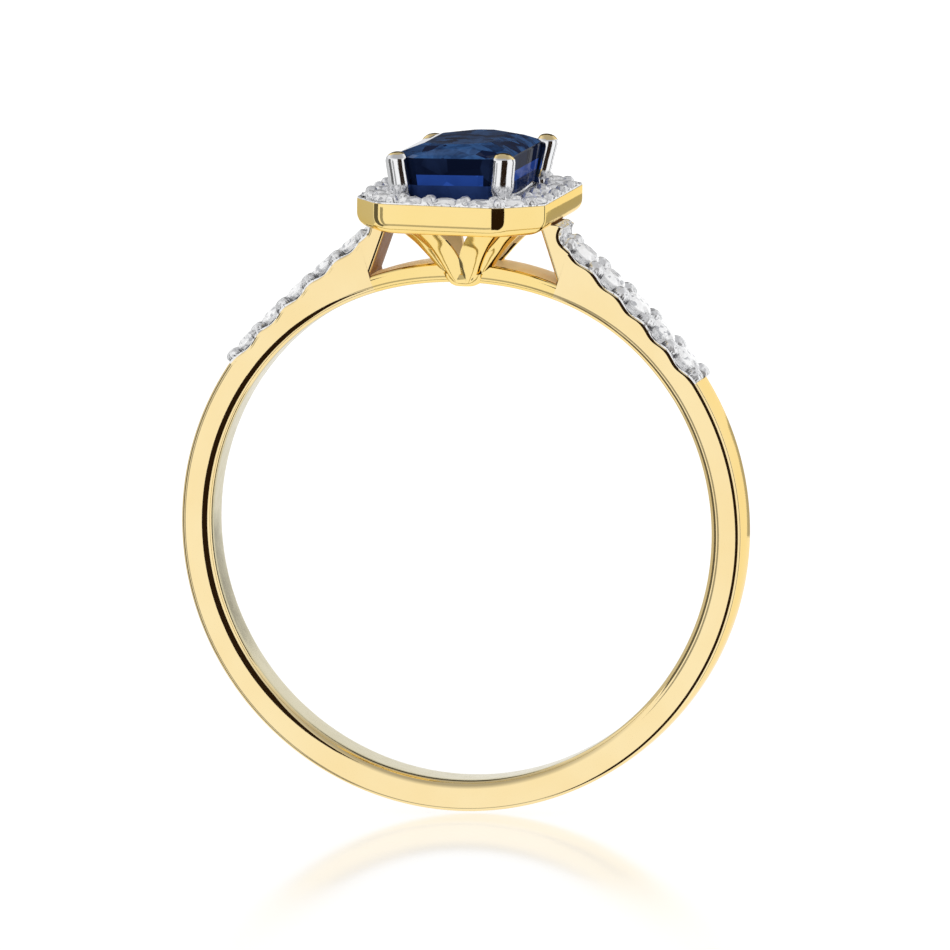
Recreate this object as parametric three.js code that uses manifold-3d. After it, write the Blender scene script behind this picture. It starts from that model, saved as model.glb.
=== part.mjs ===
// A cathedral halo engagement ring: a yellow-gold shank whose shoulders rise to an octagonal halo,
// which carries an emerald-cut sapphire in four claws, with brilliants round it and down both shoulders.
// Millimetres, +Z up. The origin is the centre of the finger hole, +Y runs along the finger,
// and the head is at +Z. Left is -X, and front is -Y.
import * as THREE from "three";
import { mergeVertices } from "three/addons/utils/BufferGeometryUtils.js";
import { ConvexGeometry } from "three/addons/geometries/ConvexGeometry.js";
import Module from "manifold-3d";

const wasm = await Module();
wasm.setup();

// ---------------------------------------------------------------- driving dimensions

const SEAM = 0.02; // gap left in a soldered joint or round a set stone

const BORE_R = 8.5; // finger hole: a 17 mm ring
const BORE_FLAT = 0.25; // how far the hole flattens under the head
const BORE_FLAT_SPREAD = THREE.MathUtils.degToRad(28);
const BAND_W = 1.9; // along the finger
const BAND_T = 1.04;
const BAND_R = BORE_R + BAND_T;
const BAND_COMFORT = 0.2; // rounding of the band's inner edges
const BAND_EDGE = 0.08; // and of its outer ones
const BAND_SEGMENTS = 72;
const ARC_STEP = THREE.MathUtils.degToRad(5);

const SHOULDER_END = THREE.MathUtils.degToRad(56.4); // from the top of the ring, where the band begins
const SHOULDER_TOP = new THREE.Vector2(3.3, 9.78); // where the row of stones meets the halo
const SHOULDER_SAGITTA = 0.15; // how far the row bows out from its chord
const STRUT_OUTER_X = 3.1;
const STRUT_INNER_X = 2.55;
const CROTCH = THREE.MathUtils.degToRad(21); // where the shoulder leaves the bridge
const BRIDGE_R = 8.96; // top of the bridge

const RAIL_T = 0.55; // the strip that holds the shoulder stones
const RAIL_UNDERCUT = 0.14; // its lower end slants back from the band by this much
const RAIL_LIP = 0.12; // gold left on each side of it
const SHOULDER_STONES = 5;
const SHOULDER_PITCH = 1.21;
const SHOULDER_STONE_D = 1.12;
const SHOULDER_STONE_LIFT = 0.08; // girdle over the rail
const SHOULDER_BEAD = { r: 0.22, h: 0.28 };

const HALO = { x: 3.2, y: 4.35, cut: 1.32 }; // half sizes of the octagon and its corner cut
const HALO_TOP = 11.29;
const TRAY_BOTTOM = 10.3;
const TRAY_LIP_Z = 11.17;
const TRAY_FLOOR_Z = 10.84;
const TRAY_WALL = 0.2;
const WELL = { x: 1.77, y: 2.77, cut: 0.5 }; // opening for the centre stone
const STONE_LINE_INSET = 0.55; // halo stones' centres, in from the halo's edge
const HALO_STONE_D = 0.94;
const HALO_BEAD = { r: 0.13, h: 0.1 };
const HALO_BEAD_SPREAD = 0.34; // beads' distance from the stones' line
const LONG_SIDE_GAPS = 6; // between two corner stones
const SHORT_SIDE_GAPS = 4;

const GIRDLE_Z = 12.56;
const SAPPHIRE = { x: 2.0, y: 3.0, cut: 0.6 };
const SAPPHIRE_STEPS = [
  // height over the girdle, and how far the outline has drawn in there
  { z: 0.46, inset: 0.85, cut: 0.42 },
  { z: 0.28, inset: 0.42, cut: 0.52 },
  { z: 0.03, inset: 0, cut: 0.6 },
  { z: -0.03, inset: 0, cut: 0.6 },
  { z: -1.15, inset: 0.39, cut: 0.52 },
  { z: -1.65, inset: 0.85, cut: 0.42 },
];
const KEEL = { z: -2.15, y: 1.0 };

const SEAT_TOP = 11.47;
const CLAW_R = 0.31;
const CLAW_SIDES = 10;
const CLAW_FOOT = new THREE.Vector3(1.62, 2.55, 10.4);
const CLAW_TIP = new THREE.Vector3(1.84, 2.8, 12.6);
const CLAW_TOP_Z = 12.86;

const BASKET_WALL = 0.3;
const BASKET_FLOOR_Z = 8.5;
const BASKET_RINGS = [
  { z: 8.14, x: 0.3, y: 1.0, cut: 0.15 },
  { z: 8.3, x: 0.48, y: 1.12, cut: 0.22 },
  { z: 8.6, x: 0.68, y: 1.28, cut: 0.3 },
  { z: 8.9, x: 0.9, y: 1.48, cut: 0.38 },
  { z: 9.25, x: 1.17, y: 1.72, cut: 0.47 },
  { z: 9.6, x: 1.48, y: 2.0, cut: 0.56 },
  { z: 9.95, x: 1.85, y: 2.35, cut: 0.66 },
  { z: TRAY_BOTTOM - SEAM, x: 2.25, y: 2.75, cut: 0.75 },
];
const FRONT_WINDOW = [
  // half width of the opening at each height
  [8.55, 0],
  [8.95, 0.16],
  [9.5, 0.48],
  [10.05, 0.9],
  [10.4, 1.2],
];
const SIDE_WINDOW = [
  [BRIDGE_R + 0.06, 0.6],
  [9.5, 1.02],
  [10.05, 1.39],
  [10.4, 1.65],
];

// ---------------------------------------------------------------- finishes

const finish = (color, roughness, metalness) =>
  new THREE.MeshStandardMaterial({ color, roughness, metalness, flatShading: true });
const yellowGold = finish(0xf7dfa0, 0.12, 1);
const rhodium = finish(0xe9eaec, 0.12, 1);
const sapphireBlue = finish(0x14265c, 0.04, 0);
const diamondWhite = finish(0xf4f8fc, 0.02, 0);

// ---------------------------------------------------------------- solids

// A closed three.js geometry as a manifold-3d solid.
function solid(geometry) {
  const bare = geometry.clone();
  bare.deleteAttribute("normal");
  bare.deleteAttribute("uv");
  const merged = mergeVertices(bare, 1e-5);
  return new wasm.Manifold(
    new wasm.Mesh({
      numProp: 3,
      vertProperties: merged.attributes.position.array,
      triVerts: new Uint32Array(merged.index.array),
    }),
  );
}

function geometryOf(body) {
  const { vertProperties, triVerts } = body.getMesh();
  const indexed = new THREE.BufferGeometry()
    .setAttribute("position", new THREE.BufferAttribute(vertProperties, 3))
    .setIndex(new THREE.BufferAttribute(triVerts, 1));
  const geometry = indexed.toNonIndexed();
  geometry.computeVertexNormals();
  return geometry;
}

function piece(name, body, material) {
  const mesh = new THREE.Mesh(geometryOf(body), material);
  mesh.name = name;
  return mesh;
}

// An octagon, counter-clockwise from above: half sizes x and y, with each corner cut off by cut.
function octagon({ x, y, cut }, z, grow = 0) {
  const corner = cut + grow * (2 - Math.SQRT2);
  const [a, b] = [x + grow, y + grow];
  return [
    [a, -b + corner],
    [a, b - corner],
    [a - corner, b],
    [-a + corner, b],
    [-a, b - corner],
    [-a, -b + corner],
    [-a + corner, -b],
    [a - corner, -b],
  ].map(([px, py]) => new THREE.Vector3(px, py, z));
}

// The solid through rings of equally many points, listed upwards, each convex and counter-clockwise.
function loft(rings) {
  const n = rings[0].length;
  const index = [];
  for (let i = 1; i < n - 1; i++) {
    const top = (rings.length - 1) * n;
    index.push(0, i + 1, i, top, top + i, top + i + 1);
  }
  for (let k = 0; k < rings.length - 1; k++) {
    for (let i = 0; i < n; i++) {
      const a = k * n + i;
      const b = k * n + ((i + 1) % n);
      index.push(a, b, b + n, a, b + n, a + n);
    }
  }
  const geometry = new THREE.BufferGeometry().setFromPoints(rings.flat());
  geometry.setIndex(index);
  return solid(geometry);
}

const octagonPrism = (shape, low, high, grow = 0) =>
  loft([octagon(shape, low, grow), octagon(shape, high, grow)]);

// The solid of an outline in the X-Z plane, given as Vector2 points, centred on Y.
function slab(points, width) {
  const geometry = new THREE.ExtrudeGeometry(new THREE.Shape(points), {
    depth: width,
    bevelEnabled: false,
  });
  geometry.rotateX(Math.PI / 2).translate(0, width / 2, 0);
  return solid(geometry);
}

const joined = (bodies) => bodies.reduce((sum, body) => sum.add(body));

// ---------------------------------------------------------------- the ring's outline

// A point of the X-Z plane at an angle from the top of the ring, positive towards +X.
const polar = (radius, angle) =>
  new THREE.Vector2(radius * Math.sin(angle), radius * Math.cos(angle));

const boreRadius = (angle) => BORE_R - BORE_FLAT * Math.exp(-((angle / BORE_FLAT_SPREAD) ** 2));

// Points along the ring between two angles. radiusAt gives the radius at an angle.
function arc(radiusAt, from, to) {
  const steps = Math.ceil(Math.abs(to - from) / ARC_STEP);
  return Array.from({ length: steps + 1 }, (_, i) => {
    const angle = from + ((to - from) * i) / steps;
    return polar(radiusAt(angle), angle);
  });
}

const shoulderLow = polar(BAND_R, SHOULDER_END);
const shoulderChord = shoulderLow.clone().sub(SHOULDER_TOP);
const shoulderLength = shoulderChord.length();
const shoulderAlong = shoulderChord.clone().normalize();
const shoulderOut = new THREE.Vector2(-shoulderAlong.y, shoulderAlong.x);

// A point of the right shoulder's top line: distance down the row, and depth under it.
function shoulderPoint(distance, depth = 0) {
  const t = distance / shoulderLength;
  const bow = 4 * SHOULDER_SAGITTA * t * (1 - t);
  return SHOULDER_TOP.clone()
    .addScaledVector(shoulderAlong, distance)
    .addScaledVector(shoulderOut, bow - depth);
}

const shoulderLine = (depth, from = 0, to = shoulderLength) =>
  Array.from({ length: 9 }, (_, i) => shoulderPoint(from + ((to - from) * i) / 8, depth));

const mirrored = (points, side) => points.map((p) => new THREE.Vector2(p.x * side, p.y));

// ---------------------------------------------------------------- band, bridge and shoulders

// The band, turned about the finger hole's axis, with the stretch under the head cut out of it.
function shank() {
  const edge = BAND_W / 2;
  const half = [
    [BAND_R, edge - BAND_EDGE],
    [BAND_R - BAND_EDGE, edge],
    [BORE_R + BAND_COMFORT, edge],
    [BORE_R + 0.3 * BAND_COMFORT, edge - 0.3 * BAND_COMFORT],
    [BORE_R, edge - BAND_COMFORT],
  ];
  const section = [...half, ...half.map(([r, y]) => [r, -y]).reverse(), half[0]];
  const profile = section.map(([r, y]) => new THREE.Vector2(r, y));
  const whole = solid(new THREE.LatheGeometry(profile, BAND_SEGMENTS));
  const end = SHOULDER_END + SEAM / BAND_R;
  const head = [new THREE.Vector2(0, 0), polar(3 * BAND_R, -end), polar(3 * BAND_R, end)];
  return whole.subtract(slab(head, 2 * BAND_W));
}

function shoulder(side) {
  const outline = [
    ...shoulderLine(0),
    ...arc(boreRadius, SHOULDER_END, CROTCH),
    polar(BRIDGE_R, CROTCH),
    new THREE.Vector2(STRUT_INNER_X, TRAY_BOTTOM - SEAM),
    new THREE.Vector2(STRUT_OUTER_X, TRAY_BOTTOM - SEAM),
  ];
  const channel = [...shoulderLine(-1), ...shoulderLine(RAIL_T + SEAM).reverse()];
  const width = BAND_W - 2 * RAIL_LIP;
  return slab(mirrored(outline, side), BAND_W).subtract(slab(mirrored(channel, side), width));
}

function bridgeHalf(side) {
  const [from, to] = [0, CROTCH - SEAM / BRIDGE_R];
  const outline = [...arc(() => BRIDGE_R, from, to), ...arc(boreRadius, to, from)];
  return slab(mirrored(outline, side), BAND_W).subtract(basketHull(SEAM));
}

// ---------------------------------------------------------------- stones

// A round brilliant of diameter d, girdle at the origin and table up.
function brilliant(d) {
  const r = d / 2;
  const [table, crown, pavilion, girdle] = [0.56 * r, 0.15 * d, 0.43 * d, 0.015 * d];
  const half = Math.cos(Math.PI / 8);
  const star = (table * half + r) / 2;
  const starZ = (crown * (r - star * half)) / (r - table);
  const lower = 0.24 * r;
  const lowerZ = pavilion * (1 - (lower * half) / r);
  const points = [new THREE.Vector3(0, 0, -girdle - pavilion)];
  const at = (radius, eighths, z) => {
    const angle = (eighths * Math.PI) / 4;
    points.push(new THREE.Vector3(radius * Math.cos(angle), radius * Math.sin(angle), z));
  };
  for (let k = 0; k < 8; k++) {
    at(table, k, girdle + crown);
    at(star, k + 0.5, girdle + starZ);
    at(lower, k + 0.5, -girdle - lowerZ);
    for (const z of [girdle, -girdle]) {
      at(r, k, z);
      at(r, k + 0.5, z);
    }
  }
  return solid(new ConvexGeometry(points));
}

// What a setter cuts for a brilliant: a cone under the girdle and a straight wall over it.
function seat(d) {
  const r = d / 2 + SEAM;
  const profile = [
    [0, -0.46 * d],
    [r, -0.03 * d],
    [r, d],
    [0, d],
  ].map(([x, y]) => new THREE.Vector2(x, y));
  return solid(new THREE.LatheGeometry(profile, 12).rotateX(Math.PI / 2));
}

// A grain of metal raised beside a stone, of radius r and height h.
function bead({ r, h }) {
  const profile = [
    [0, -0.3 * r],
    [r, -0.3 * r],
    [r, 0.3 * h],
    [0.65 * r, h],
    [0, h],
  ].map(([x, y]) => new THREE.Vector2(x, y));
  return solid(new THREE.LatheGeometry(profile, 7).rotateX(Math.PI / 2));
}

function sapphire(grow = 0) {
  const rings = SAPPHIRE_STEPS.flatMap(({ z, inset, cut }) => {
    const outline = { x: SAPPHIRE.x - inset, y: SAPPHIRE.y - inset, cut };
    return octagon(outline, GIRDLE_Z + z + Math.sign(z) * grow, grow);
  });
  const keel = [-1, 1].map((end) => new THREE.Vector3(0, end * KEEL.y, GIRDLE_Z + KEEL.z - grow));
  return solid(new ConvexGeometry([...rings, ...keel]));
}

// ---------------------------------------------------------------- shoulder settings

const rowStart = (shoulderLength - SHOULDER_STONES * SHOULDER_PITCH) / 2;

// A body made at the origin, moved onto the shoulder's row and turned to stand square on it.
function onShoulder(body, side, distance, y = 0, height = 0) {
  const place = shoulderPoint(distance, -height);
  const [before, after] = [shoulderPoint(distance - 0.1), shoulderPoint(distance + 0.1)];
  const tilt = Math.atan2(before.y - after.y, after.x - before.x);
  const degrees = THREE.MathUtils.radToDeg(tilt) * side;
  return body.rotate([0, degrees, 0]).translate([place.x * side, y, place.y]);
}

const setInShoulder = (body, side, k) =>
  onShoulder(body, side, rowStart + (k + 0.5) * SHOULDER_PITCH, 0, SHOULDER_STONE_LIFT);

function paveRail(side) {
  const [from, to] = [SEAM, shoulderLength - SEAM];
  const underside = shoulderLine(RAIL_T, from, to - RAIL_UNDERCUT);
  const outline = [...shoulderLine(0, from, to), ...underside.reverse()];
  let rail = slab(mirrored(outline, side), BAND_W - 2 * (RAIL_LIP + SEAM));
  const beadY = BAND_W / 2 - RAIL_LIP - SHOULDER_BEAD.r - SEAM;
  for (let k = 0; k <= SHOULDER_STONES; k++) {
    const distance = rowStart + k * SHOULDER_PITCH;
    for (const y of [-beadY, beadY]) {
      rail = rail.add(onShoulder(bead(SHOULDER_BEAD), side, distance, y));
    }
  }
  for (let k = 0; k < SHOULDER_STONES; k++) {
    rail = rail.subtract(setInShoulder(seat(SHOULDER_STONE_D), side, k));
  }
  return rail;
}

// ---------------------------------------------------------------- halo

function haloTray() {
  const edge = [
    // height over the tray's bottom, and how far the rounded edge has drawn in
    [0, 0.32],
    [0.04, 0.19],
    [0.13, 0.07],
    [0.3, 0],
    [TRAY_LIP_Z - TRAY_BOTTOM, 0],
  ];
  const body = loft(edge.map(([up, inset]) => octagon(HALO, TRAY_BOTTOM + up, -inset)));
  const pocket = octagonPrism(HALO, TRAY_FLOOR_Z, TRAY_LIP_Z + 1, -TRAY_WALL);
  const well = octagonPrism(WELL, TRAY_BOTTOM - 1, TRAY_LIP_Z + 1);
  return body.subtract(joined([pocket, well, ...clawRods(SEAM)]));
}

// The centres of the halo's stones, or the places half way between them, with the way out from the middle.
function haloPlaces(shift) {
  const corners = octagon(HALO, 0, -STONE_LINE_INSET);
  const places = [];
  const middle = (i) => corners[i % 8].clone().add(corners[(i + 1) % 8]).multiplyScalar(0.5);
  for (let side = 0; side < 4; side++) {
    // each side runs from the middle of one corner cut to the middle of the next
    const first = 2 * side + 7;
    const path = [middle(first), corners[(first + 1) % 8], corners[(first + 2) % 8], middle(first + 2)];
    const cut = path[0].distanceTo(path[1]);
    const straight = path[1].distanceTo(path[2]);
    const gaps = side % 2 ? SHORT_SIDE_GAPS : LONG_SIDE_GAPS;
    for (let k = 0; k < gaps; k++) {
      const run = ((k + shift) * (2 * cut + straight)) / gaps;
      const leg = run < cut ? 0 : run > cut + straight ? 2 : 1;
      const start = [0, cut, cut + straight][leg];
      const along = path[leg + 1].clone().sub(path[leg]).normalize();
      const out = new THREE.Vector3(along.y, -along.x, 0);
      places.push({ at: path[leg].clone().addScaledVector(along, run - start), out });
    }
  }
  return places;
}

function haloPavePlate() {
  const body = octagonPrism(HALO, TRAY_FLOOR_Z + SEAM, HALO_TOP, -TRAY_WALL - SEAM);
  const brim = octagonPrism(HALO, TRAY_LIP_Z + SEAM / 4, HALO_TOP, -SEAM);
  const well = octagonPrism(WELL, TRAY_BOTTOM, HALO_TOP + 1);
  const beads = haloPlaces(0.5).flatMap(({ at, out }) =>
    [-1, 1].map((way) => {
      const spot = at.clone().addScaledVector(out, way * HALO_BEAD_SPREAD);
      return bead(HALO_BEAD).translate([spot.x, spot.y, HALO_TOP]);
    }),
  );
  const seats = haloPlaces(0).map(({ at }) => seat(HALO_STONE_D).translate([at.x, at.y, HALO_TOP]));
  return joined([body, brim, ...beads]).subtract(joined([well, ...seats, ...clawRods(SEAM)]));
}

// ---------------------------------------------------------------- centre setting

// Each claw's upright rod with its domed end, in the order front left, front right, back right, back left.
function clawRods(grow = 0) {
  const corners = [
    [-1, -1],
    [1, -1],
    [1, 1],
    [-1, 1],
  ];
  const levels = [
    [CLAW_FOOT.z, 1],
    [CLAW_TIP.z, 1],
    [CLAW_TIP.z + 0.6 * (CLAW_TOP_Z - CLAW_TIP.z), 0.82],
    [CLAW_TOP_Z, 0.4],
  ];
  return corners.map(([sx, sy]) =>
    loft(
      levels.map(([z, share]) => {
        const t = (z - CLAW_FOOT.z) / (CLAW_TIP.z - CLAW_FOOT.z);
        const x = sx * THREE.MathUtils.lerp(CLAW_FOOT.x, CLAW_TIP.x, Math.min(t, 1));
        const y = sy * THREE.MathUtils.lerp(CLAW_FOOT.y, CLAW_TIP.y, Math.min(t, 1));
        return Array.from({ length: CLAW_SIDES }, (_, i) => {
          const angle = (2 * Math.PI * i) / CLAW_SIDES;
          const r = CLAW_R * share + grow;
          return new THREE.Vector3(x + r * Math.cos(angle), y + r * Math.sin(angle), z);
        });
      }),
    ),
  );
}

const claws = () => clawRods().map((rod) => rod.subtract(sapphire(SEAM)));

// The rail that the sapphire beds on, inside the halo's well.
function stoneSeat() {
  const body = octagonPrism(WELL, TRAY_BOTTOM + SEAM, SEAT_TOP, -SEAM);
  return body.subtract(joined([sapphire(SEAM), ...clawRods(SEAM)]));
}

// ---------------------------------------------------------------- basket

const basketHull = (grow) => loft(BASKET_RINGS.map((ring) => octagon(ring, ring.z, grow)));

// A window's outline from its half widths, lowest first.
const windowOutline = (steps) => [
  ...steps.map(([z, half]) => new THREE.Vector2(half, z)),
  ...steps.map(([z, half]) => new THREE.Vector2(-half, z)).reverse(),
];

function basket() {
  const inside = BASKET_RINGS.filter((ring) => ring.z > BASKET_FLOOR_Z).map((ring) =>
    octagon(ring, ring.z, -BASKET_WALL),
  );
  const floor = octagon(BASKET_RINGS[2], BASKET_FLOOR_Z, -BASKET_WALL - 0.06);
  const mouth = inside.at(-1).map((p) => p.clone().setZ(TRAY_BOTTOM + 0.5));
  const front = slab(windowOutline(FRONT_WINDOW), 8);
  const side = slab(windowOutline(SIDE_WINDOW), 8).rotate([0, 0, 90]);
  return basketHull(0).subtract(joined([loft([floor, ...inside, mouth]), front, side]));
}

// ---------------------------------------------------------------- the ring

const ring = new THREE.Group();

ring.add(piece("shank", shank(), yellowGold));
for (const [word, side] of [
  ["left", -1],
  ["right", 1],
]) {
  ring.add(
    piece(`shoulder_${word}`, shoulder(side), yellowGold),
    piece(`bridge_${word}`, bridgeHalf(side), yellowGold),
    piece(`pave_rail_${word}`, paveRail(side), rhodium),
  );
  for (let k = 0; k < SHOULDER_STONES; k++) {
    const stone = setInShoulder(brilliant(SHOULDER_STONE_D), side, k);
    ring.add(piece(`shoulder_diamond_${word}_${k + 1}`, stone, diamondWhite));
  }
}

ring.add(
  piece("basket", basket(), yellowGold),
  piece("halo_tray", haloTray(), yellowGold),
  piece("halo_pave_plate", haloPavePlate(), rhodium),
  piece("stone_seat", stoneSeat(), rhodium),
  piece("sapphire", sapphire(), sapphireBlue),
);

const clawNames = ["front_left", "front_right", "back_right", "back_left"];
claws().forEach((claw, i) => ring.add(piece(`claw_${clawNames[i]}`, claw, rhodium)));

haloPlaces(0).forEach(({ at }, i) => {
  const stone = brilliant(HALO_STONE_D).translate([at.x, at.y, HALO_TOP]);
  ring.add(piece(`halo_diamond_${String(i + 1).padStart(2, "0")}`, stone, diamondWhite));
});

export default ring;
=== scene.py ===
import math

import bmesh
import bpy
from mathutils import Matrix, Vector


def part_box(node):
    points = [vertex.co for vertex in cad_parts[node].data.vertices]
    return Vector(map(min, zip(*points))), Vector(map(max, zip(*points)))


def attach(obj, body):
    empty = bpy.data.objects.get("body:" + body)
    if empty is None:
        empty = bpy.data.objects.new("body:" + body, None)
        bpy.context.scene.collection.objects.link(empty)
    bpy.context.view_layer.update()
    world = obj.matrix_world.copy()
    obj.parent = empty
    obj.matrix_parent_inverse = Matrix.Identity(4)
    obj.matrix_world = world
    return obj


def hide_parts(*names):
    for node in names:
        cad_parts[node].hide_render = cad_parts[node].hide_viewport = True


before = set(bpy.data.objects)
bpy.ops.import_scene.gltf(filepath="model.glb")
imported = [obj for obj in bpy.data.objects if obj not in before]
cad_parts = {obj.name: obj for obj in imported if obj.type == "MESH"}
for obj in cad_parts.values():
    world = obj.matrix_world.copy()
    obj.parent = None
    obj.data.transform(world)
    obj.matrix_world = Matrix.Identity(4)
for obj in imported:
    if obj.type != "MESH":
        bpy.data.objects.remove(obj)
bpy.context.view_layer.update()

# Shapes are worked out in millimetres and scaled when a mesh is made. +Z is up, +Y runs along the
# finger, and the origin is the centre of the finger hole.
MM = 0.001


def cad(node):
    """A CAD node's lowest and highest corner, in millimetres."""
    lo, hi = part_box(node)
    return Vector(lo) / MM, Vector(hi) / MM


# ---------------------------------------------------------------- dimensions

SHANK_HI = cad("shank")[1]
BAND_R = SHANK_HI.x
BAND_W = 2 * SHANK_HI.y
BORE_R = 8.5
BORE_FLAT = 0.25  # how far the hole flattens under the head
BORE_FLAT_SPREAD = math.radians(28)
BAND_EDGE = 0.21  # rounding of the band's outer edges
BAND_COMFORT = 0.45  # and of its inner ones
FLAT_MARGIN = 0.02  # flat metal beside every rounded edge
BAND_DOME = 0.03  # how far its outer face swells between the edges
SHOULDER_END = math.acos(SHANK_HI.z / BAND_R)  # where the shoulders start, from the top of the ring

SHOULDER_TOP = Vector((3.3, 9.78))
SHOULDER_SAGITTA = 0.15
SHOULDER_BEND = 0.2  # where the shoulder's line starts to turn up towards the halo
SHOULDER_TURN = Vector((0.9, 0.2))
SHOULDER_RUN_IN = 0.1  # the share of its length over which it leaves the band's round line
STRUT_INNER_X = 2.55
STRUT_ROOT = (0.3, 0.001)  # how far past the crotch, down the row, its first two outlines are
STRUT_SHY = 0.002  # how far its flanks stay inside the shoulder's
STRUT_LOW_Z = 8.3  # the faces over this, turned to the middle, are its inner ones
FLANK_NORMAL = 0.35  # a face whose normal has more than this along Y belongs to a flank
CROTCH = math.radians(21)  # where the shoulder leaves the bridge
CROTCH_DISTANCE = 0.45  # how far down the row of stones that is
BRIDGE_R = 8.96
BRIDGE_EDGE = 0.14
BRIDGE_START_X = 0.3  # inside the basket's cup

STONES = 5  # on each shoulder
PITCH = 1.21
STONE_R = 0.56
GOLD_SCALLOP = 0.09  # how far the gold dips under each stone
CHANNEL_DEPTH = 0.5
RAIL_Y = BAND_W / 2 - 0.05
CHANNEL_Y = RAIL_Y - 0.01
PRONG_R = 0.31
PRONG_H = 0.27
PRONG_Y = 0.55
PRONG_STRETCH = 1.08  # how much longer a bead is than wide
RAIL_START = -0.52  # along the row, at the halo end
RAIL_STEP = 0.03
RAIL_TOP = -0.03  # from the shoulder's line
RAIL_DIP = 0.1  # how much lower it is beside a stone
RAIL_RIM = 0.035  # how much higher its edge is
RIM_AT = (0.14, 0.1)  # where the rim rises, in from the edge
GUTTER_DEPTH = 0.06  # between the rim and the stones
GUTTER_AT = (0.24, 0.2)
SEAT_SLOPE = 0.7  # how steeply a stone's seat goes down
SHADOW_WIDTH = 0.04  # of the painted shadow round a bead

TRAY_LO, TRAY_HI = cad("halo_tray")
HALO_X, HALO_Y, HALO_CUT = TRAY_HI.x, TRAY_HI.y, 1.32
HALO_TOP = 11.29
BRIM = HALO_TOP - 0.035  # the tray's top
TRAY_BOTTOM = TRAY_LO.z - 0.1
TRAY_FLOOR = 10.84
TRAY_WALL = 0.22  # its thickness
PLATE_LOW = 10.86
TRAY_ROUNDING = [
    # how far the tray's lower edge is drawn in, and the height over its underside
    (0.8, 0.0), (0.62, 0.012), (0.46, 0.045), (0.33, 0.095), (0.22, 0.16), (0.135, 0.235), (0.07, 0.32),
    (0.03, 0.41), (0.008, 0.5), (0.0, 0.59),
]
HALO_LEFT_CUT = 0.95  # the left corners are cut less
HALO_FILLETS = (0.4, 0.14)  # rounding of the upright edges, at the ends and along the sides
WELL = (1.77, 2.77, 0.5)  # half width, half length and cut corner of its opening
WELL_FILLETS = (0.1, 0.1)
HALO_STONE_R = 0.47
HALO_BEAD_R = 0.22
HALO_BEAD_H = 0.23
HALO_BEAD_SPREAD = 0.33
PLATE_DIP = 0.08  # how much lower the plate is than its rim and its lip
PLATE_RIM = 0.09
PLATE_RIM_AT = (0.04, 0.08)  # where the rim ends, as a share of the way from the edge to the well
PLATE_LIP = 0.08
PLATE_LIP_AT = (0.86, 0.92)
COLLAR = 0.06  # the raised ring round each stone

SEAT_TOP = cad("stone_seat")[1].z
SEAT_LOW = 10.34
SEAT_OUTLINES = [
    # half width, half length and cut corner, height, and how far the middle of each side sags
    (1.72, 2.72, 0.5, SEAT_LOW, 0.0),
    (1.72, 2.72, 0.5, 11.2, 0.04),
    (1.74, 2.74, 0.5, 11.34, 0.1),
    (1.72, 2.72, 0.5, SEAT_TOP - 0.03, 0.12),
    (1.66, 2.66, 0.5, SEAT_TOP, 0.12),
    (1.55, 2.55, 0.45, SEAT_TOP - 0.02, 0.12),
    (1.4, 2.4, 0.4, 11.2, 0.04),
    (1.4, 2.4, 0.4, SEAT_LOW, 0.0),
]
SEAT_FILLETS = (0.25, 0.25)

LEAN = Matrix.Rotation(math.radians(-1.4), 4, "Y")  # the sapphire and its claws lean a little to the left
LEAN_ABOUT = Vector((0, 0, 11.3))
LEAN_HEIGHTS = (10.9, 11.5)  # where the lean sets in, and where it is whole
SETTING_SHIFT = Vector((-0.08, 0, 0))

CLAW_AT = Vector((1.71, 2.63))
CLAW_SPINE = [
    # distance out from the sapphire's corner line, height, half width along it and half depth across it
    (0.1, 10.42, 0.3, 0.26),
    (0.06, 10.9, 0.33, 0.28),
    (0.04, 11.25, 0.36, 0.3),
    (0.02, 11.42, 0.33, 0.28),
    (0.02, 11.6, 0.36, 0.3),
    (0.04, 12.0, 0.34, 0.29),
    (0.07, 12.35, 0.34, 0.29),
    (0.08, 12.55, 0.34, 0.29),
    (0.07, 12.66, 0.32, 0.28),
    (0.05, 12.74, 0.265, 0.235),
    (0.02, 12.8, 0.215, 0.19),
    (0.0, 12.84, 0.15, 0.13),
    (-0.01, 12.86, 0.07, 0.06),
    (-0.01, 12.865, 0.01, 0.01),
]
CLAW_SETBACK = 0.12  # of its foot, in from that line
CLAW_FOOT_Z = 10.4
CLAW_SPLAY = 0.09  # how far out a claw leans for each millimetre of height
CLAW_SWELL = 0.2  # how much fuller it is over the halo
SWELL_HEIGHTS = (11.3, 11.8)
CLAWS = [
    # name, which way it stands from the stone's middle, and how much more it splays
    ("front_left", -1, -1, 0),
    ("front_right", 1, -1, 0),
    ("back_right", 1, 1, 0.16),
    ("back_left", -1, 1, -0.04),
]
CAP_Z = 12.7  # over it, the plating has worn off
CAP_WAVE = 0.06
BACK_CLAW_BARE_Z = 11.5  # over it, the claws of the back are bare on the side towards the stone

SAPPHIRE_HI = cad("sapphire")[1]
SAPPHIRE_LEVELS = [
    # height, how far the outline is drawn in, and its cut corners
    (11.0, 0.33, 0.42),
    (11.5, 0.2, 0.52),
    (11.76, 0.155, 0.54),
    (12.12, 0.092, 0.57),
    (12.6, 0.01, 0.6),
    (12.64, 0.0, 0.6),
    (12.68, 0.0, 0.6),
    (12.78, 0.1, 0.66),
    (12.95, 0.45, 0.72),
    (13.07, 0.85, 0.7),
]
SAPPHIRE_LEFT_CUT = 0.22  # how much more its left corners are cut
CROWN_DROP = 0.09  # how much lower its crown is on the left
CROWN_HEIGHTS = (12.68, 12.95)  # where that sets in, and where it is whole
LIT_STEP = (11.8, 12.1)  # the heights between which the pavilion's broad steps get painted light
LIT_HALF = (1.2, 2.2)  # and how far along the front and the sides

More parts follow.
